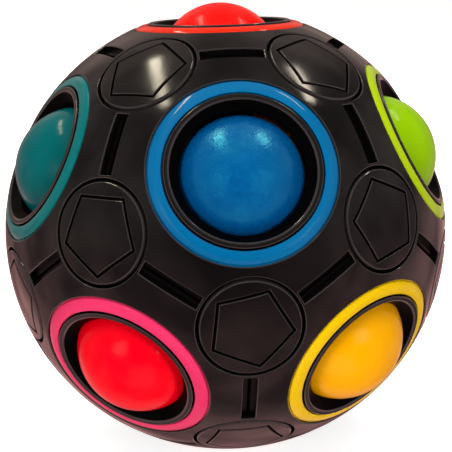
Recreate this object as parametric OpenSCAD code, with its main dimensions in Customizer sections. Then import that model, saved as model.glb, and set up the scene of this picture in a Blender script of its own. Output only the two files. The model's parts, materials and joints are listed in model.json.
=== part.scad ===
// Rainbow puzzle ball: a round shell of twelve five-sided panels, each with a
// ringed hole. Eleven coloured balls sit in the holes on a soft inner ball, and
// one hole is left empty, so that a neighbouring ball can be pushed across to it.
// The ball stands on the flat lip of the empty hole: z = 0 is that lip's face,
// and the ball's centre is straight above the origin.

/* [Shell] */
// Outside diameter of the shell
shell_d = 70; // [66:1:80]
// Height of every hole's flat lip above the shell's centre
lip_height = 33.2; // [33.1:0.05:33.4]
// Outside diameter of the lip
lip_d = 22; // [21.6:0.1:22.2]
// Diameter of the hole at the face of the lip
mouth_d = 20.6; // [20:0.1:21]
// Narrowest diameter of the hole
throat_d = 17.8; // [17.6:0.1:18]
// Length of the straight stretch of the throat
throat_length = 0.5; // [0.3:0.1:0.8]

/* [Coloured rings] */
// Outside diameter of the groove that a ring sits in
groove_d = 26.6; // [26.2:0.1:27]
// Depth of the groove below the lip's face
groove_depth = 1.9; // [1.5:0.1:2.2]
// Diameter of the sphere that the rings' faces lie on
ring_face_d = 69.6; // [69.2:0.1:70]
// Gap that shows on each side of a ring
ring_gap = 0.25; // [0.15:0.05:0.35]
// Thickness of the wide foot under a ring
ring_foot = 0.6; // [0.4:0.1:0.8]

/* [Balls] */
// Diameter of the coloured balls
ball_d = 19; // [18.8:0.1:19]
// Distance of a pushed-out ball from the shell's centre
seat_outer = 27.8; // [27.6:0.1:27.8]
// Distance of the balls in the upper holes from the shell's centre
seat_upper = 26.8; // [26.6:0.1:27]
// Distance of the top ball from the shell's centre
seat_top = 26.5; // [26.3:0.1:26.7]
// Diameter of the soft inner ball
core_d = 35; // [34:0.5:35]
// How far the inner ball sinks below the shell's centre under its own weight
core_drop = 0.9; // [0.8:0.1:1]

/* [Corner caps] */
// Diameter of the round recess at each corner
recess_d = 15.2; // [14.8:0.1:15.4]
// Depth of the recess below the shell's surface, at the recess's middle
recess_depth = 2.6; // [2.4:0.1:3]
// Diameter of a cap
cap_d = 14.3; // [14:0.1:14.5]
// Diameter of the plug under a cap
plug_d = 5; // [4:0.5:5]
// Length of the plug
plug_length = 4.2; // [3:0.1:4.4]
// Distance from the middle to the corners of the five-sided line on a cap
pentagon_r = 6.4; // [5.8:0.1:6.6]
// Width of the line
line_w = 0.55; // [0.4:0.05:0.8]
// Depth of the line
line_depth = 0.4; // [0.2:0.05:0.6]

/* [Slots] */
// Width of the slots along the seams
slot_w = 2; // [1.5:0.1:2.4]
// Length of the slots
slot_length = 9.2; // [8:0.1:9.2]
// Depth of the slots
slot_depth = 1.2; // [0.8:0.1:1.2]
// Width of the bevel that marks the seam in a slot's floor
seam_w = 0.5; // [0.2:0.05:0.6]

/* [Hidden] */
$fn = 180;
big = 90;
over = 0.5;

// Angles of the twelve-sided solid that the panels follow
ring_lat = atan(0.5);
neighbour_angle = 90 - ring_lat;
seam_angle = neighbour_angle / 2;
corner_angle = acos(sqrt((5 + 2 * sqrt(5)) / 15));
corner_lat_high = 90 - corner_angle;
corner_lat_low = corner_lat_high - acos(sqrt(5) / 3);
fifth = 72;
tenth = 36;

// Radii
shell_r = shell_d / 2;
ball_r = ball_d / 2;
lip_r = lip_d / 2;
mouth_r = mouth_d / 2;
throat_r = throat_d / 2;
groove_r = groove_d / 2;
ring_face_r = ring_face_d / 2;

// The throat stops a ball that is pushed out as far as seat_outer
throat_clearance = 0.1;
throat_z = seat_outer + sqrt(pow(ball_r + throat_clearance, 2) - pow(throat_r, 2));

// A ball crosses to the next hole on an arc that leaves its seat at push_angle
// from straight inwards. The seam's underside bulges round the arc's centre.
push_angle = 26;
web_clearance = 0.3;
chord_angle = 90 - seam_angle;
arc_r = seat_outer * sin(seam_angle) / sin(chord_angle - push_angle);
arc_x = arc_r * cos(push_angle);
arc_y = seat_outer + arc_r * sin(push_angle);
web_r = arc_r - ball_r - web_clearance;

web_arc_start = 30;
web_arc_steps = 8;
web_arc_step = (90 - seam_angle - web_arc_start) / web_arc_steps;
web_arc = [
    for (i = [0 : web_arc_steps])
        let (a = web_arc_start + i * web_arc_step)
            [arc_x - web_r * cos(a), arc_y - web_r * sin(a)]
];

// The wall is thicker where three panels meet, round the plug of a cap
boss_height = 26;

// Gap round a plug in its bore
plug_fit = 0.05;

groove_floor = lip_height - groove_depth;
recess_floor = shell_r - recess_depth;

// Holes: name, latitude, longitude, turn about the hole's axis, colour, seat
SEAT_EMPTY = 0;
HOLES = [
    ["red", 90, -90, 0, [0.86, 0.06, 0.03], seat_top],
    ["blue", ring_lat, -90, 180, [0.01, 0.36, 0.66], seat_upper],
    ["lime", ring_lat, -18, 180, [0.62, 0.83, 0.03], seat_upper],
    ["orange", ring_lat, 54, 180, [0.95, 0.38, 0.03], seat_upper],
    ["purple", ring_lat, 126, 180, [0.36, 0.13, 0.55], seat_upper],
    ["teal", ring_lat, 198, 180, [0.0, 0.42, 0.40], seat_upper],
    ["yellow", -ring_lat, -54, 0, [0.93, 0.73, 0.01], seat_outer],
    ["sky", -ring_lat, 18, 0, [0.32, 0.70, 0.90], seat_outer],
    ["white", -ring_lat, 90, 0, [0.90, 0.90, 0.88], seat_outer],
    ["green", -ring_lat, 162, 0, [0.02, 0.42, 0.16], seat_outer],
    ["pink", -ring_lat, 234, 0, [0.96, 0.12, 0.36], seat_outer],
    ["brown", -90, 54, 0, [0.45, 0.25, 0.13], SEAT_EMPTY]
];
FILLED = [for (h = HOLES) if (h[5] != SEAT_EMPTY) h];

// Rows of corners: name, latitude, first longitude, and the turn of the
// five-sided line on each cap, because the plugs are pushed in at any turn
CORNER_ROWS = [
    ["top", corner_lat_high, -54, [13, 60, 25, 4, 37]],
    ["upper", corner_lat_low, -54, [48, 8, 31, 66, 0]],
    ["lower", -corner_lat_low, -90, [12, 55, 20, 40, 30]],
    ["bottom", -corner_lat_high, -90, [5, 44, 62, 18, 33]]
];
CORNERS = [
    for (row = CORNER_ROWS)
        for (i = [0 : 4])
            [str("cap_", row[0], "_", i + 1), row[1], row[2] + fifth * i, row[3][i]]
];

// Point of a wall section at an angle from the hole's axis
function along(angle, distance) = distance * [sin(angle), cos(angle)];

shell_colour = [0.06, 0.05, 0.05];
core_colour = [0.25, 0.25, 0.25];

// Puts the shell's centre at its height above the table
module at_centre() {
    translate([0, 0, lip_height]) children();
}

// Turns +Z to point out through a hole or a corner
module facing(lat, lon, turn = 0) {
    at_centre() rotate([0, 0, lon]) rotate([0, 90 - lat, 0]) rotate([0, 0, turn]) children();
}

// Cross-section of the shell's wall from a hole's axis outwards
module wall_section() {
    far_angle = corner_angle + 3;
    difference() {
        intersection() {
            circle(r = shell_r);
            polygon(concat(
                [[mouth_r, lip_height], [throat_r, throat_z + throat_length], [throat_r, throat_z]],
                web_arc,
                [along(corner_angle, boss_height), along(far_angle, boss_height)],
                [along(far_angle, shell_r + over), [lip_r, shell_r + over], [lip_r, lip_height]]
            ));
        }
        translate([lip_r, groove_floor]) square([groove_r - lip_r, shell_r]);
    }
}

// Half of a slot, with the bevel of its seam, to be cut out of a panel's edge
module slot_cut() {
    floor_z = shell_r - slot_depth;
    translate([-slot_w / 2, -slot_length / 2, floor_z])
        cube([slot_w, slot_length, slot_depth + over]);
    translate([0, 0, floor_z]) rotate([0, 45, 0])
        cube([seam_w / sqrt(2), slot_length, seam_w / sqrt(2)], center = true);
}

// Recess for a cap and the bore for its plug
module corner_cut() {
    translate([0, 0, recess_floor]) cylinder(d = recess_d, h = recess_depth + over);
    translate([0, 0, boss_height - 2]) cylinder(d = plug_d, h = shell_r - boss_height);
}

// One five-sided panel
module panel(hole) {
    color(shell_colour)
    facing(hole[1], hole[2], hole[3])
    difference() {
        difference() {
            difference() {
                rotate_extrude() wall_section();
                each_corner() corner_cut();
            }
            each_seam() slot_cut();
        }
        each_seam() translate([0, -big / 2, -big / 2]) cube(big);
    }
}

// Turns +Z to point out through each of a panel's five seams
module each_seam() {
    for (i = [0 : 4])
        rotate([0, 0, fifth * i]) rotate([0, seam_angle, 0]) children();
}

// Turns +Z to point out through each of a panel's five corners
module each_corner() {
    for (i = [0 : 4])
        rotate([0, 0, tenth + fifth * i]) rotate([0, corner_angle, 0]) children();
}

// Coloured ring, with a wide foot that fills the groove
module ring(hole) {
    fit = 0.03;
    foot_top = groove_floor + ring_foot;
    color(hole[4])
    facing(hole[1], hole[2])
    rotate_extrude() {
        intersection() {
            circle(r = ring_face_r);
            translate([lip_r + ring_gap, groove_floor])
                square([groove_r - lip_r - 2 * ring_gap, shell_r - groove_floor]);
        }
        translate([lip_r + fit, groove_floor])
            square([groove_r - lip_r - 2 * fit, foot_top - groove_floor]);
    }
}

// Loose coloured ball in its hole
module ball(hole) {
    color(hole[4])
    facing(hole[1], hole[2])
    translate([0, 0, hole[5]])
    sphere(r = ball_r);
}

// Five-sided line to be cut into a cap's face
module pentagon_line() {
    inner_r = pentagon_r - line_w / cos(tenth);
    difference() {
        cylinder(r = pentagon_r, h = shell_d, $fn = 5);
        cylinder(r = inner_r, h = shell_d, $fn = 5);
        sphere(r = shell_r - line_depth);
    }
}

// Round cap whose plug holds three panels' corners together
module cap(corner) {
    plug_z = recess_floor - plug_length;
    color(shell_colour)
    facing(corner[1], corner[2], corner[3])
    difference() {
        union() {
            intersection() {
                sphere(r = shell_r);
                translate([0, 0, recess_floor]) cylinder(d = cap_d, h = recess_depth + over);
            }
            translate([0, 0, plug_z]) cylinder(d = plug_d - 2 * plug_fit, h = plug_length + over);
        }
        pentagon_line();
    }
}

// Soft ball in the middle, which holds the coloured balls out
module inner_ball() {
    color(core_colour)
    at_centre() translate([0, 0, -core_drop])
    sphere(d = core_d);
}

for (h = HOLES)
    panel(h);
for (h = HOLES)
    ring(h);
for (h = FILLED)
    ball(h);
for (c = CORNERS)
    cap(c);
inner_ball();
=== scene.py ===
"""Looks of the rainbow puzzle ball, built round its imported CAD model.

The pieces' sizes are in millimetres, and the camera's, lights' and floor's in metres.
Each moulded piece is made once, at the shell's centre with +Z out through its hole or
corner, and copied to where the CAD piece is. Heights are from the shell's centre.
"""

import json
import math

import bmesh
import bpy
from mathutils import Matrix, Vector

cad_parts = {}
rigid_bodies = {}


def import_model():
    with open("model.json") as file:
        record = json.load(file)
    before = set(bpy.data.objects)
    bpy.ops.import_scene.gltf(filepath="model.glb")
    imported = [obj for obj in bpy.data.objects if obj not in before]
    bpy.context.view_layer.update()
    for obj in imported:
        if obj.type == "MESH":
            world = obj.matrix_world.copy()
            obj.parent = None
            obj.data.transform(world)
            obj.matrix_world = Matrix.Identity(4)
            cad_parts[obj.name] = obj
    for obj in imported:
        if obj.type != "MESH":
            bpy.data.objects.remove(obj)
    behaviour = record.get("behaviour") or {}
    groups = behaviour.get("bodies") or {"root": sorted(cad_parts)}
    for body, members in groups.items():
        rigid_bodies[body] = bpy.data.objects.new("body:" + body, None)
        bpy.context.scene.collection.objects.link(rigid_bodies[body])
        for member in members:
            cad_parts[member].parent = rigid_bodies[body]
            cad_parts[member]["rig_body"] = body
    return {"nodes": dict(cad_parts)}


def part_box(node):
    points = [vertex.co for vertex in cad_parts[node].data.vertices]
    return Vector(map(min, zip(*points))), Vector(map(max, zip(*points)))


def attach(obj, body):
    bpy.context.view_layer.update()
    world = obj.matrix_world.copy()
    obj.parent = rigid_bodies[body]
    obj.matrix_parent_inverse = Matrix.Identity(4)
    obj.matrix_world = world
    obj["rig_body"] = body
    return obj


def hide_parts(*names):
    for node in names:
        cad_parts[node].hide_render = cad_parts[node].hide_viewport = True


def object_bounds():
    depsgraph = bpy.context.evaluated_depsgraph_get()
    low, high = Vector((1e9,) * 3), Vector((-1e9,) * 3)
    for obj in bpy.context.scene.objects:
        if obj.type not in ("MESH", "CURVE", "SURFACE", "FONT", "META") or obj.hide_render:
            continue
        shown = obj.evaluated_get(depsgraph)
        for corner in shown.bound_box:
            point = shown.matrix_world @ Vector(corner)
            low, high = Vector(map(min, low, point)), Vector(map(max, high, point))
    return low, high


MM = 0.001

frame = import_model()
cad_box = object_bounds()

# ------------------------------------------------------------------ dimensions

SHELL_R = round((cad_box[1].x - cad_box[0].x) / 2 / MM, 1)
BALL_R = round((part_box("ball_red")[1].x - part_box("ball_red")[0].x) / 2 / MM, 1)

LIP_HEIGHT = 33.2
LIP_R = 11.0
MOUTH_R = 10.3
THROAT_R = 8.9
THROAT_TOP = 31.9
THROAT_BOTTOM = 31.4
GROOVE_R = 13.3
GROOVE_FLOOR = 31.3
RECESS_R = 7.6
RECESS_FLOOR = SHELL_R - 2.6
CAP_R = 7.15
PLUG_R = 2.5
PLUG_LENGTH = 4.2
BOSS_HEIGHT = 26.0
CENTRE = Vector((0, 0, LIP_HEIGHT * MM))

# The seam's underside is an arc round this centre, out of the balls' way
WEB_R = 17.57
WEB_CENTRE = (24.6, 39.8)
WEB_FIRST = math.radians(30)
WEB_LAST = math.radians(58.28)

SLOT_HALF_WIDTH = 1.0
SLOT_HALF_LENGTH = 4.6
SLOT_DEPTH = 1.2
SEAM_HALF_WIDTH = 0.25
# Radii of the rounded edges, EDGE being that of the ring grooves, slots and recesses
EDGE = 0.2
LIP_EDGE = 0.2
MOUTH_EDGE = 0.55
THROAT_EDGE = 0.3
RING_EDGE = 0.15
LINE_EDGE = 0.15
CAP_EDGE = 0.35
PLUG_EDGE = 0.4
# How far below the shell's surface the polish and then the bright edges end
POLISH_ENDS = 0.012
EDGES_END = 0.24

RING_GAP = 0.25
RING_FACE_R = SHELL_R - 0.2
RING_CROWN = 0.19
RING_FOOT_HEIGHT = 0.6
RING_FOOT_FIT = 0.03

PENTAGON_R = 6.4
LINE_WIDTH = 0.55
LINE_DEPTH = 0.4

# Angles of the twelve-sided solid that the panels follow
FIFTH = math.radians(72)
RING_LATITUDE = math.atan(0.5)
SEAM_ANGLE = (math.pi / 2 - RING_LATITUDE) / 2
CORNER_ANGLE = math.acos(math.sqrt((5 + 2 * math.sqrt(5)) / 15))
CORNER_HIGH = math.pi / 2 - CORNER_ANGLE
CORNER_LOW = CORNER_HIGH - math.acos(math.sqrt(5) / 3)

# Holes: name to latitude, longitude and turn, all in degrees but the latitude
HOLES = {
    "red": (math.pi / 2, -90, 0),
    "blue": (RING_LATITUDE, -90, 180),
    "lime": (RING_LATITUDE, -18, 180),
    "orange": (RING_LATITUDE, 54, 180),
    "purple": (RING_LATITUDE, 126, 180),
    "teal": (RING_LATITUDE, 198, 180),
    "yellow": (-RING_LATITUDE, -54, 0),
    "sky": (-RING_LATITUDE, 18, 0),
    "white": (-RING_LATITUDE, 90, 0),
    "green": (-RING_LATITUDE, 162, 0),
    "pink": (-RING_LATITUDE, 234, 0),
    "brown": (-math.pi / 2, 54, 0),
}
# Rows of caps: name to latitude, first longitude and the turns of their lines, in
# degrees but the latitude
CAP_ROWS = {
    "top": (CORNER_HIGH, -54, (13, 60, 25, 4, 37)),
    "upper": (CORNER_LOW, -54, (48, 8, 31, 66, 0)),
    "lower": (-CORNER_LOW, -90, (12, 55, 20, 40, 30)),
    "bottom": (-CORNER_HIGH, -90, (5, 44, 62, 18, 33)),
}

# Colours of the rings, and of the balls where they differ from their ring
RING_COLOURS = {
    "red": (0.72, 0.02, 0.003),
    "blue": (0.0, 0.125, 0.30),
    "lime": (0.42, 0.60, 0.0),
    "orange": (0.85, 0.20, 0.01),
    "purple": (0.17, 0.04, 0.36),
    "teal": (0.0, 0.140, 0.140),
    "yellow": (0.82, 0.54, 0.0),
    "sky": (0.12, 0.45, 0.75),
    "white": (0.78, 0.78, 0.75),
    "green": (0.01, 0.24, 0.07),
    "pink": (0.80, 0.034, 0.135),
    "brown": (0.19, 0.08, 0.03),
}
BALL_COLOURS = {
    **RING_COLOURS,
    "yellow": (0.90, 0.40, 0.0),
    "pink": (0.95, 0.0, 0.010),
    "red": (0.92, 0.002, 0.0),
    "blue": (0.0, 0.086, 0.275),
    "teal": (0.0, 0.104, 0.108),
    "lime": (0.29, 0.56, 0.0),
}
BLACK = (0.004, 0.003, 0.003)
# Darker black for the holes, grooves, line floors and the panels' undersides: painted shade
INSIDE_SHADE_BLACK = (0.0012, 0.001, 0.001)
# Darker black for the slot floors: painted shade
SLOT_SHADE_BLACK = (0.0015, 0.0013, 0.0013)
# Lighter grey on the rounded edges: a painted sheen standing in for their thin highlight lines
PAINTED_EDGE_SHEEN = (0.027, 0.023, 0.022)
RUBBER = (0.03, 0.03, 0.032)
SCUFF_TINT = (0.06, 0.9, 1.0)

# Places of the finishes in the list of materials of a panel or a cap; the bright edge carries a painted
# sheen, the inside and the slot floor painted shade
POLISHED, BRIGHT_EDGE, INSIDE, SLOT_FLOOR = range(4)


# -------------------------------------------------------------- mesh building


def along(angle, distance):
    """Point of a section at an angle from the axis."""
    return (distance * math.sin(angle), distance * math.cos(angle))


def sphere_arc(radius, first, last, steps):
    """Points of a section along a sphere, between two angles from the axis."""
    return [along(first + (last - first) * i / steps, radius) for i in range(steps + 1)]


def rounded(points, radii, steps=5):
    """The points, with an arc in place of each corner that has a radius."""
    made = []
    for i, point in enumerate(points):
        radius = radii.get(i, 0)
        if not radius:
            made.append(point)
            continue
        corner = Vector(point)
        back = (Vector(points[i - 1]) - corner).normalized()
        ahead = (Vector(points[(i + 1) % len(points)]) - corner).normalized()
        half = back.angle(ahead) / 2
        centre = corner + (back + ahead).normalized() * radius / math.sin(half)
        first = corner + back * radius / math.tan(half) - centre
        last = corner + ahead * radius / math.tan(half) - centre
        first, last = first.normalized(), last.normalized()
        made += [tuple(centre + first.slerp(last, k / steps) * radius) for k in range(steps + 1)]
    return made


def lathe(bm, section, steps):
    """Turns a section round the axis. One that starts off the axis is joined end to end."""
    starts_on_axis = section[0][0] == 0
    turns = [2 * math.pi * k / steps for k in range(steps)]
    rings = []
    for r, z in section:
        if r == 0:
            rings.append([bm.verts.new((0, 0, z))] * steps)
        else:
            rings.append([bm.verts.new((r * math.cos(t), r * math.sin(t), z)) for t in turns])
    stitch(bm, rings, not starts_on_axis)


def stitch(bm, loops, closed):
    """Faces between each loop of points and the next, and from the last to the first if closed."""
    count = len(loops[0])
    for a, b in zip(loops, loops[1:] + (loops[:1] if closed else [])):
        for k in range(count):
            n = (k + 1) % count
            bm.faces.new(list(dict.fromkeys((a[k], a[n], b[n], b[k]))))


def fill_solid(bm, loops):
    """A closed solid through the loops, with the first and the last filled in."""
    stitch(bm, loops, False)
    bm.faces.new(loops[0])
    bm.faces.new(loops[-1])


def on_sphere(bm, points, reach):
    """A loop of vertices over the points, at that distance from the shell's centre."""
    return [bm.verts.new((x, y, math.sqrt(reach * reach - x * x - y * y))) for x, y in points]


def to_mesh(bm, name):
    """A mesh from bm, with its faces looking outwards."""
    bmesh.ops.recalc_face_normals(bm, faces=bm.faces)
    mesh = bpy.data.meshes.new(name)
    bm.to_mesh(mesh)
    bm.free()
    return mesh


def cut(mesh, cutter, name):
    """The mesh without what the cutter holds."""
    target = bpy.data.objects.new(name, mesh)
    tool = bpy.data.objects.new(name + "_cutter", cutter)
    for piece in (target, tool):
        bpy.context.scene.collection.objects.link(piece)
    boolean = target.modifiers.new("cut", "BOOLEAN")
    boolean.operation = "DIFFERENCE"
    boolean.solver = "EXACT"
    boolean.object = tool
    bpy.context.view_layer.update()
    cut_target = target.evaluated_get(bpy.context.evaluated_depsgraph_get())
    made = bpy.data.meshes.new_from_object(cut_target)
    for piece in (target, tool):
        bpy.data.objects.remove(piece)
    bm = bmesh.new()
    bm.from_mesh(made)
    bmesh.ops.dissolve_degenerate(bm, dist=0.001, edges=bm.edges)
    bm.to_mesh(made)
    bm.free()
    return made


def shade(mesh, radius=None):
    """Smooth faces with true edges. Faces on the sphere of that radius get its exact normals."""
    close = 0.008
    mesh.shade_smooth()
    mesh.set_sharp_from_angle(angle=math.radians(28))
    if radius is None:
        return mesh
    normals = [Vector((0, 0, 0))] * len(mesh.loops)
    for face in mesh.polygons:
        points = [mesh.vertices[v].co for v in face.vertices]
        if all(abs(p.length - radius) < close for p in points):
            for loop, p in zip(face.loop_indices, points):
                normals[loop] = p.normalized()
    mesh.normals_split_custom_set(normals)
    return mesh


def finish_at(middle, normal):
    """Finish of a face, by where its middle is and which way it looks. Rounded edges get a painted sheen,
    and faces deep in holes, grooves, slot floors and under the panels get painted shade.
    """
    in_mouth = math.hypot(middle.x, middle.y) < LIP_R + RING_GAP
    in_hole = in_mouth and middle.z < LIP_HEIGHT + POLISH_ENDS
    depth = LIP_HEIGHT - middle.z if in_hole else SHELL_R - middle.length
    if depth < EDGES_END:
        return BRIGHT_EDGE if depth > POLISH_ENDS else POLISHED
    if in_hole:
        return INSIDE
    upright = abs(normal.dot(middle)) < 0.5 * middle.length
    if upright and depth < 0.9 * SLOT_DEPTH:
        return POLISHED
    if not upright and abs(depth - SLOT_DEPTH) < 0.1:
        return SLOT_FLOOR
    return INSIDE


def sort_faces(mesh):
    """Gives each face its finish."""
    for face in mesh.polygons:
        face.material_index = finish_at(face.center, face.normal)


# ----------------------------------------------------------------- the panels


def seam_turn(i):
    """Turns +Z to point out through a panel's seam i."""
    return Matrix.Rotation(FIFTH * i, 4, "Z") @ Matrix.Rotation(SEAM_ANGLE, 4, "Y")


def corner_turn(i):
    """Turns +Z to point out through a panel's corner i."""
    return Matrix.Rotation(FIFTH * (i + 0.5), 4, "Z") @ Matrix.Rotation(CORNER_ANGLE, 4, "Y")


def wall_section():
    """Section of the shell's wall: outside, ring groove, lip, throat and underside."""
    far = CORNER_ANGLE + math.radians(3)
    outside = sphere_arc(SHELL_R, far, math.asin(GROOVE_R / SHELL_R), 16)
    groove = len(outside) - 1
    points = outside + [
        (GROOVE_R, GROOVE_FLOOR),
        (LIP_R, GROOVE_FLOOR),
        (LIP_R, LIP_HEIGHT),
        (MOUTH_R, LIP_HEIGHT),
        (THROAT_R, THROAT_TOP),
        (THROAT_R, THROAT_BOTTOM),
    ]
    web = [WEB_FIRST + (WEB_LAST - WEB_FIRST) * i / 8 for i in range(9)]
    points += [(WEB_CENTRE[0] - WEB_R * math.cos(a), WEB_CENTRE[1] - WEB_R * math.sin(a)) for a in web]
    points += [along(CORNER_ANGLE, BOSS_HEIGHT), along(far, BOSS_HEIGHT)]
    radii = {groove: EDGE, groove + 3: LIP_EDGE, groove + 4: MOUTH_EDGE, groove + 5: THROAT_EDGE}
    return rounded(points, radii)


def slot_outline(offset):
    """Outline of a slot, as points round it."""
    w, h = SLOT_HALF_WIDTH + offset, SLOT_HALF_LENGTH + offset
    across, down = 3, 15
    points = [(-w + 2 * w * i / across, -h) for i in range(across)]
    points += [(w, -h + 2 * h * i / down) for i in range(down)]
    points += [(w - 2 * w * i / across, h) for i in range(across)]
    points += [(-w, h - 2 * h * i / down) for i in range(down)]
    return points


def add_slot(bm):
    """Adds the cutter of a slot with a rounded edge, at +Z."""
    loops = [[bm.verts.new((x, y, SHELL_R - SLOT_DEPTH)) for x, y in slot_outline(0)]]
    for turn in (0, 20, 40, 60, 76):
        turn = math.radians(turn)
        grown, sunk = EDGE * (1 - math.cos(turn)), EDGE * (1 - math.sin(turn))
        loops.append(on_sphere(bm, slot_outline(grown), SHELL_R - sunk))
    loops.append(on_sphere(bm, slot_outline(EDGE * 1.4), SHELL_R + 0.6))
    fill_solid(bm, loops)


def add_seam(bm):
    """Adds the cutter of the bevel that marks the seam in a slot's floor, at +Z."""
    rise = 0.1
    half = SEAM_HALF_WIDTH + rise
    off_seam = 0.01
    end = SLOT_HALF_LENGTH - 0.03
    floor = SHELL_R - SLOT_DEPTH
    corners = ((half, rise), (off_seam, -SEAM_HALF_WIDTH), (-half, rise))
    fill_solid(bm, [[bm.verts.new((x, y, floor + z)) for x, z in corners] for y in (-end, end)])


def add_recess(bm):
    """Adds the cutter of a cap's round recess and of its plug's bore, at +Z."""
    rim = math.asin(RECESS_R / SHELL_R)
    above = SHELL_R + 0.5
    bore_end = BOSS_HEIGHT - 2
    side = [(RECESS_R, RECESS_FLOOR), along(rim, SHELL_R), along(rim + math.radians(3), SHELL_R)]
    section = [(0, bore_end), (PLUG_R, bore_end), (PLUG_R, RECESS_FLOOR)]
    section += rounded(side, {1: EDGE})[:-2]
    section += [(RECESS_R + 0.3, above), (0, above)]
    lathe(bm, section, 96)


def five_cutters(add, turn, name):
    """A mesh of five cutters, one at each of a panel's seams or corners."""
    bm = bmesh.new()
    for i in range(5):
        start = len(bm.verts)
        add(bm)
        bm.verts.ensure_lookup_table()
        bmesh.ops.transform(bm, matrix=turn(i), verts=bm.verts[start:])
    return to_mesh(bm, name)


def panel_mesh():
    """One five-sided panel."""
    bm = bmesh.new()
    lathe(bm, wall_section(), 120)
    for i in range(5):
        across = seam_turn(i).to_3x3() @ Vector((1, 0, 0))
        everything = bm.verts[:] + bm.edges[:] + bm.faces[:]
        made = bmesh.ops.bisect_plane(
            bm, geom=everything, plane_co=(0, 0, 0), plane_no=across, clear_outer=True
        )
        edges = [g for g in made["geom_cut"] if isinstance(g, bmesh.types.BMEdge)]
        bmesh.ops.contextual_create(bm, geom=edges)
    mesh = to_mesh(bm, "panel")
    mesh = cut(mesh, five_cutters(add_recess, corner_turn, "recesses"), "panel")
    mesh = cut(mesh, five_cutters(add_slot, seam_turn, "slots"), "panel")
    mesh = cut(mesh, five_cutters(add_seam, seam_turn, "seams"), "panel")
    sort_faces(mesh)
    return shade(mesh, SHELL_R)


# ---------------------------------------------------- rings, caps and the balls


def ring_mesh():
    """A coloured ring: a crowned band with rounded edges, on a wider foot."""
    inner, outer = LIP_R + RING_GAP, GROOVE_R - RING_GAP
    foot_inner, foot_outer = LIP_R + RING_FOOT_FIT, GROOVE_R - RING_FOOT_FIT
    foot = GROOVE_FLOOR + RING_FOOT_HEIGHT
    low, high = math.asin(inner / RING_FACE_R), math.asin(outer / RING_FACE_R)
    steps = 10
    band = []
    for i in range(steps + 1):
        share = i / steps
        crown = RING_CROWN * math.sin(math.pi * share)
        band.append(along(low + (high - low) * share, RING_FACE_R + crown))
    points = [(foot_inner, GROOVE_FLOOR), (foot_inner, foot), (inner, foot)] + band
    points += [(outer, foot), (foot_outer, foot), (foot_outer, GROOVE_FLOOR)]
    bm = bmesh.new()
    lathe(bm, rounded(points, {3: RING_EDGE, 3 + steps: RING_EDGE}, 4), 144)
    return shade(to_mesh(bm, "ring"))


def pentagon_outline(apothem):
    """Points round a five-sided outline, with its first corner on +X."""
    steps = 12
    corner = apothem / math.cos(FIFTH / 2)
    ends = [Vector((corner * math.cos(FIFTH * i), corner * math.sin(FIFTH * i))) for i in range(6)]
    return [tuple(ends[i].lerp(ends[i + 1], k / steps)) for i in range(5) for k in range(steps)]


def line_cutter():
    """Cutter of a cap's five-sided line, whose width is taken halfway up its rounded edges."""
    bm = bmesh.new()
    middle = PENTAGON_R * math.cos(FIFTH / 2) - LINE_WIDTH / 2
    floor = LINE_WIDTH / 2 - LINE_EDGE / 2
    side = [(floor, LINE_DEPTH)]
    for turn in (0, 25, 50, 75):
        turn = math.radians(turn)
        side.append((floor + LINE_EDGE * (1 - math.cos(turn)), LINE_EDGE * (1 - math.sin(turn))))
    side.append((floor + LINE_EDGE * 1.4, -0.5))
    section = side + [(-offset, sunk) for offset, sunk in reversed(side)]
    loops = [on_sphere(bm, pentagon_outline(middle + offset), SHELL_R - sunk) for offset, sunk in section]
    stitch(bm, loops, True)
    return to_mesh(bm, "line")


def cap_mesh():
    """A round corner cap with its plug."""
    rim = math.asin(CAP_R / SHELL_R)
    face = sphere_arc(SHELL_R, 0, rim, 12)
    bottom = RECESS_FLOOR - PLUG_LENGTH
    points = face + [(CAP_R, RECESS_FLOOR), (PLUG_R, RECESS_FLOOR), (PLUG_R, bottom), (0, bottom)]
    points[0] = (0, SHELL_R)
    bm = bmesh.new()
    lathe(bm, rounded(points, {len(face) - 1: CAP_EDGE, len(face) + 2: PLUG_EDGE}), 96)
    mesh = cut(to_mesh(bm, "cap"), line_cutter(), "cap")
    sort_faces(mesh)
    return shade(mesh, SHELL_R)


def ball_mesh():
    """A loose ball: a cube's faces blown out to a sphere, so that it has no poles."""
    bm = bmesh.new()
    bmesh.ops.create_cube(bm, size=2)
    bmesh.ops.subdivide_edges(bm, edges=bm.edges, cuts=31, use_grid_fill=True)
    for v in bm.verts:
        even = Vector([math.tan(c * math.pi / 4) for c in v.co])
        v.co = even.normalized() * BALL_R
    return shade(to_mesh(bm, "ball"), BALL_R)


# ------------------------------------------------------------------- materials


def new_material(name):
    """An empty material, its node tree and its shader."""
    material = bpy.data.materials.new(name)
    material.use_nodes = True
    return material, material.node_tree, material.node_tree.nodes["Principled BSDF"]


def noise(tree, coords, scale, detail):
    """A noise texture that is fixed to the piece."""
    made = tree.nodes.new("ShaderNodeTexNoise")
    made.inputs["Scale"].default_value = scale
    made.inputs["Detail"].default_value = detail
    tree.links.new(coords, made.inputs["Vector"])
    return made.outputs["Fac"]


def remap(tree, source, from_low, from_high, low=0.0, high=1.0):
    """The source, stretched from one spread to another."""
    made = tree.nodes.new("ShaderNodeMapRange")
    made.inputs["From Min"].default_value = from_low
    made.inputs["From Max"].default_value = from_high
    made.inputs["To Min"].default_value = low
    made.inputs["To Max"].default_value = high
    tree.links.new(source, made.inputs["Value"])
    return made.outputs["Result"]


def blend_colours(tree, share, low, high):
    """A colour that goes from low to high as the share goes from 0 to 1."""
    made = tree.nodes.new("ShaderNodeMix")
    made.data_type = "RGBA"
    made.inputs[6].default_value = (*low, 1)
    made.inputs[7].default_value = (*high, 1)
    tree.links.new(share, made.inputs[0])
    return made.outputs[2]


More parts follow.
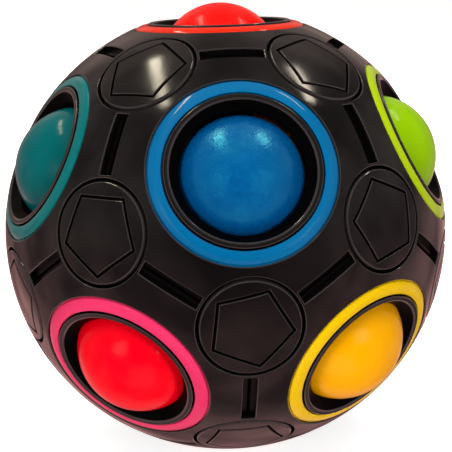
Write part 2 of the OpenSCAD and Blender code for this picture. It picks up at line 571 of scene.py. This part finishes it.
def plastic(name, colour, rough, grain, height, tint=0.08, gloss=0.5, smudge=90.0):
    """Moulded plastic: uneven gloss, a faint moulding grain and a slight drift of colour.

    rough is the roughness from its least to its most and smudge the scale it changes on,
    grain the grain's texture scale, height its depth in millimetres, gloss the specular level.
    """
    material, tree, shader = new_material(name)
    coords = tree.nodes.new("ShaderNodeTexCoord").outputs["Object"]

    smudges = remap(tree, noise(tree, coords, smudge, 4.0), *NOISE_SPREAD, *rough)
    tree.links.new(smudges, shader.inputs["Roughness"])

    darker = [c * (1 - tint) for c in colour]
    lighter = [min(1.0, c * (1 + tint)) for c in colour]
    drift = remap(tree, noise(tree, coords, DRIFT_SCALE, 3.0), *NOISE_SPREAD)
    tree.links.new(blend_colours(tree, drift, darker, lighter), shader.inputs["Base Color"])

    bump = tree.nodes.new("ShaderNodeBump")
    bump.inputs["Distance"].default_value = height * MM
    tree.links.new(noise(tree, coords, grain, 2.0), bump.inputs["Height"])
    tree.links.new(bump.outputs["Normal"], shader.inputs["Normal"])
    shader.inputs["Specular IOR Level"].default_value = gloss
    return material


def set_ior(material, ior):
    """Makes a material reflect more or less than plain plastic."""
    material.node_tree.nodes["Principled BSDF"].inputs["IOR"].default_value = ior


# Where nearly all of a noise texture's values lie, and the scale colours drift on
NOISE_SPREAD = (0.35, 0.65)
DRIFT_SCALE = 60.0

SHELL_GLOSS = plastic("shell_gloss", BLACK, (0.09, 0.15), 420.0, 0.006)
CAP_GLOSS = plastic("cap_gloss", BLACK, (0.10, 0.17), 420.0, 0.009)
# Rounded edges: real gloss over a lighter base colour that is a painted sheen
EDGE_SHEEN = plastic("edge_sheen", PAINTED_EDGE_SHEEN, (0.07, 0.14), 600.0, 0.008, gloss=1.0)
# Satin in the hollows, with a darker black and a dulled reflection that are painted shade
INSIDE_SATIN_AND_SHADE = plastic("inside_satin_and_shade", INSIDE_SHADE_BLACK, (0.4, 0.55), 1400.0, 0.02, gloss=0.12)
set_ior(INSIDE_SATIN_AND_SHADE, 1.2)
# Satin slot floors, with a darker black that is painted shade
SLOT_SATIN_AND_SHADE = plastic("slot_satin_and_shade", SLOT_SHADE_BLACK, (0.2, 0.4), 1400.0, 0.05, gloss=0.16, smudge=900.0)
INNER_RUBBER = plastic("inner_rubber", RUBBER, (0.55, 0.7), 1500.0, 0.03)
PANEL_FINISHES = (SHELL_GLOSS, EDGE_SHEEN, INSIDE_SATIN_AND_SHADE, SLOT_SATIN_AND_SHADE)
CAP_FINISHES = (CAP_GLOSS, EDGE_SHEEN, INSIDE_SATIN_AND_SHADE, SLOT_SATIN_AND_SHADE)


def ring_gloss(colour):
    """Ring plastic."""
    return plastic(f"ring_{colour}", RING_COLOURS[colour], (0.09, 0.15), 600.0, 0.006, 0.05, 0.28)


def ball_gloss(colour):
    """Ball plastic."""
    if colour == "blue":
        return scuffed_gloss(f"ball_{colour}", BALL_COLOURS[colour])
    return plastic(f"ball_{colour}", BALL_COLOURS[colour], (0.14, 0.2), 2600.0, 0.01, gloss=0.15)


def scuffed_gloss(name, colour):
    """Ball plastic with fine scuffs, which spread and tint its highlights."""
    material = plastic(name, colour, (0.16, 0.36), 3400.0, 0.036, gloss=1.0, smudge=700.0)
    material.node_tree.nodes["Principled BSDF"].inputs["Specular Tint"].default_value = (*SCUFF_TINT, 1)
    set_ior(material, 1.7)
    return material


# ------------------------------------------------------------------- placement


def facing(latitude, longitude, turn):
    """Turns +Z to point out through a hole or a corner, at the shell's centre."""
    round_axis = Matrix.Rotation(math.radians(longitude), 4, "Z")
    tilt = Matrix.Rotation(math.pi / 2 - latitude, 4, "Y")
    return Matrix.Translation(CENTRE) @ round_axis @ tilt @ Matrix.Rotation(math.radians(turn), 4, "Z")


def place(mesh, node, where, materials):
    """A copy of the mesh in place of a CAD node, moving as the node does."""
    data = mesh.copy()
    data.transform(where @ Matrix.Scale(MM, 4))
    for material in materials:
        data.materials.append(material)
    piece = bpy.data.objects.new(node + "_moulded", data)
    bpy.context.scene.collection.objects.link(piece)
    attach(piece, frame["nodes"][node]["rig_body"])
    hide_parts(node)


def place_holes():
    """Panels, rings and balls."""
    panel, ring, ball = panel_mesh(), ring_mesh(), ball_mesh()
    for colour, (latitude, longitude, turn) in HOLES.items():
        where = facing(latitude, longitude, turn)
        place(panel, f"panel_{colour}", where, PANEL_FINISHES)
        place(ring, f"ring_{colour}", where, (ring_gloss(colour),))
        node = f"ball_{colour}"
        if node in frame["nodes"]:
            low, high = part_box(node)
            place(ball, node, Matrix.Translation((low + high) / 2), (ball_gloss(colour),))


def place_caps():
    """Corner caps, five to a row."""
    cap = cap_mesh()
    for row, (latitude, first, turns) in CAP_ROWS.items():
        for i, turn in enumerate(turns):
            where = facing(latitude, first + 72 * i, turn)
            place(cap, f"cap_{row}_{i + 1}", where, CAP_FINISHES)


def paint_inner_ball():
    """Rubber on the CAD's own inner ball."""
    data = frame["nodes"]["inner_ball"].data
    data.materials.clear()
    data.materials.append(INNER_RUBBER)


# ------------------------------------------------------------ camera and stage

# Camera, with its lens and sensor in millimetres
VIEW_AZIMUTH = -5.24
VIEW_ELEVATION = 12.77
VIEW_ROLL = math.radians(-1.69)
VIEW_DISTANCE = 201.5 * MM
LENS = 99.4
SENSOR = 36.0
SHIFT = (0.0013, 0.006)

LIGHT_DISTANCE = 0.8
FLOOR_GLOW = 0.75
# Radiance of the room high and low, and what is multiplied into it
ROOM_HIGH = (0.22, 0.20, 0.19)
ROOM_LOW = (0.46, 0.28, 0.28)
ROOM_SHADE = (0.3, 0.3, 0.33)
ROOM_BEHIND = (1.5, 1.25, 1.2)
CLUTTER_DARK = (0.45, 0.45, 0.48)
CLUTTER_LIGHT = (1.6, 1.55, 1.5)
UNCHANGED = (1, 1, 1)
WHITE_LIGHT = (1.0, 1.0, 1.0)
LEFT_DAYLIGHT = (1.0, 0.90, 0.68)
RIGHT_DAYLIGHT = (1.0, 0.87, 0.72)


def towards(azimuth, elevation):
    """Unit vector from the ball, by degrees of azimuth from -Y to +X and of elevation."""
    azimuth, elevation = math.radians(azimuth), math.radians(elevation)
    flat = math.cos(elevation)
    return Vector((math.sin(azimuth) * flat, -math.cos(azimuth) * flat, math.sin(elevation)))


def looking_back(out, distance):
    """Where something stands that looks at the ball's centre from a direction."""
    return Matrix.Translation(CENTRE + out * distance) @ out.to_track_quat("Z", "Y").to_matrix().to_4x4()


def make_camera():
    """The camera, at the photographed viewing angle."""
    data = bpy.data.cameras.new("camera")
    camera = bpy.data.objects.new("camera", data)
    bpy.context.scene.collection.objects.link(camera)
    place_at = looking_back(towards(VIEW_AZIMUTH, VIEW_ELEVATION), VIEW_DISTANCE)
    camera.matrix_world = place_at @ Matrix.Rotation(VIEW_ROLL, 4, "Z")
    data.lens = LENS
    data.sensor_width = SENSOR
    data.shift_x, data.shift_y = SHIFT
    data.clip_start = 0.01
    bpy.context.scene.camera = camera


def area_light(name, where, across, down, radiance, colour, shows):
    """A rectangular light. Only some show as reflections."""
    data = bpy.data.lights.new(name, "AREA")
    data.shape = "RECTANGLE"
    data.size = across
    data.size_y = down
    data.energy = math.pi * across * down * radiance
    data.color = colour
    light = bpy.data.objects.new(name, data)
    bpy.context.scene.collection.objects.link(light)
    light.matrix_world = where
    light.visible_glossy = shows


def window(name, first, last, width, radiance, colour):
    """A bright strip between two directions, whose width is in degrees as the ball sees it."""
    first, last = towards(*first), towards(*last)
    out = (first + last).normalized()
    x = (last - first).normalized()
    axes = Matrix((x, out.cross(x), out)).transposed().to_4x4()
    where = Matrix.Translation(CENTRE + out * LIGHT_DISTANCE) @ axes
    across = 2 * LIGHT_DISTANCE * math.tan(first.angle(last) / 2)
    down = 2 * LIGHT_DISTANCE * math.tan(math.radians(width / 2))
    area_light(name, where, across, down, radiance, colour, True)


def fill(name, azimuth, elevation, width, radiance):
    """A wide soft light that the gloss doesn't show. Its width is in degrees."""
    side = 2 * LIGHT_DISTANCE * math.tan(math.radians(width / 2))
    where = looking_back(towards(azimuth, elevation), LIGHT_DISTANCE)
    area_light(name, where, side, side, radiance, WHITE_LIGHT, False)


def make_floor():
    """Plain pale floor that curves up into a plain pale wall all round the ball."""
    flat_r, bend_r, wall_top = 1.2, 0.8, 4.0
    turns = [math.radians(a) for a in range(0, 91, 6)]
    section = [(0, 0)] + [(flat_r + bend_r * math.sin(t), bend_r * (1 - math.cos(t))) for t in turns]
    section.append((flat_r + bend_r, wall_top))
    bm = bmesh.new()
    lathe(bm, section, 96)
    mesh = to_mesh(bm, "floor")
    mesh.shade_smooth()
    floor = bpy.data.objects.new("floor", mesh)
    bpy.context.scene.collection.objects.link(floor)
    material, _, shader = new_material("floor")
    shader.inputs["Base Color"].default_value = (0.85, 0.85, 0.85, 1)
    shader.inputs["Roughness"].default_value = 0.8
    shader.inputs["Emission Color"].default_value = (1, 1, 1, 1)
    shader.inputs["Emission Strength"].default_value = FLOOR_GLOW
    floor.data.materials.append(material)
    floor.visible_glossy = False
    floor.visible_diffuse = False
    floor.visible_shadow = False


def multiplied(tree, colour, tint):
    """The product of two colours."""
    made = tree.nodes.new("ShaderNodeMix")
    made.data_type = "RGBA"
    made.blend_type = "MULTIPLY"
    made.inputs[0].default_value = 1
    tree.links.new(colour, made.inputs[6])
    tree.links.new(tint, made.inputs[7])
    return made.outputs[2]


def make_world():
    """A dim cluttered room, the table's warm glow below, shade in front and warm light behind."""
    world = bpy.data.worlds.new("studio")
    world.use_nodes = True
    tree = world.node_tree
    out = tree.nodes.new("ShaderNodeTexCoord").outputs["Generated"]
    parts = tree.nodes.new("ShaderNodeSeparateXYZ")
    tree.links.new(out, parts.inputs[0])
    height, back = parts.outputs["Z"], parts.outputs["Y"]
    colour = blend_colours(tree, remap(tree, height, -0.35, 0.15), ROOM_LOW, ROOM_HIGH)
    shade_in_front = blend_colours(tree, remap(tree, back, -0.97, -0.6), ROOM_SHADE, UNCHANGED)
    warmth_behind = blend_colours(tree, remap(tree, back, 0.2, 0.95), UNCHANGED, ROOM_BEHIND)
    things = noise(tree, out, 2.2, 3)
    clutter = blend_colours(tree, remap(tree, things, 0.38, 0.62), CLUTTER_DARK, CLUTTER_LIGHT)
    for tint in (shade_in_front, warmth_behind, clutter):
        colour = multiplied(tree, colour, tint)
    tree.links.new(colour, tree.nodes["Background"].inputs["Color"])
    bpy.context.scene.world = world


place_holes()
place_caps()
paint_inner_ball()
make_camera()
make_floor()
make_world()
window("left_window", (-147, 56), (-74, 65.5), 3.5, 15.0, LEFT_DAYLIGHT)
window("right_window", (122, 59.5), (86, 55), 4.0, 15.0, RIGHT_DAYLIGHT)
fill("left_fill", -42, 10, 20, 11.5)
fill("right_fill", 32, 10, 20, 11.5)
fill("top_fill", 0, 75, 50, 2.3)
fill("low_fill", -5, -38, 40, 2.2)
fill("back_fill", 180, 40, 60, 1.6)
bpy.context.scene.view_settings.view_transform = "Standard"
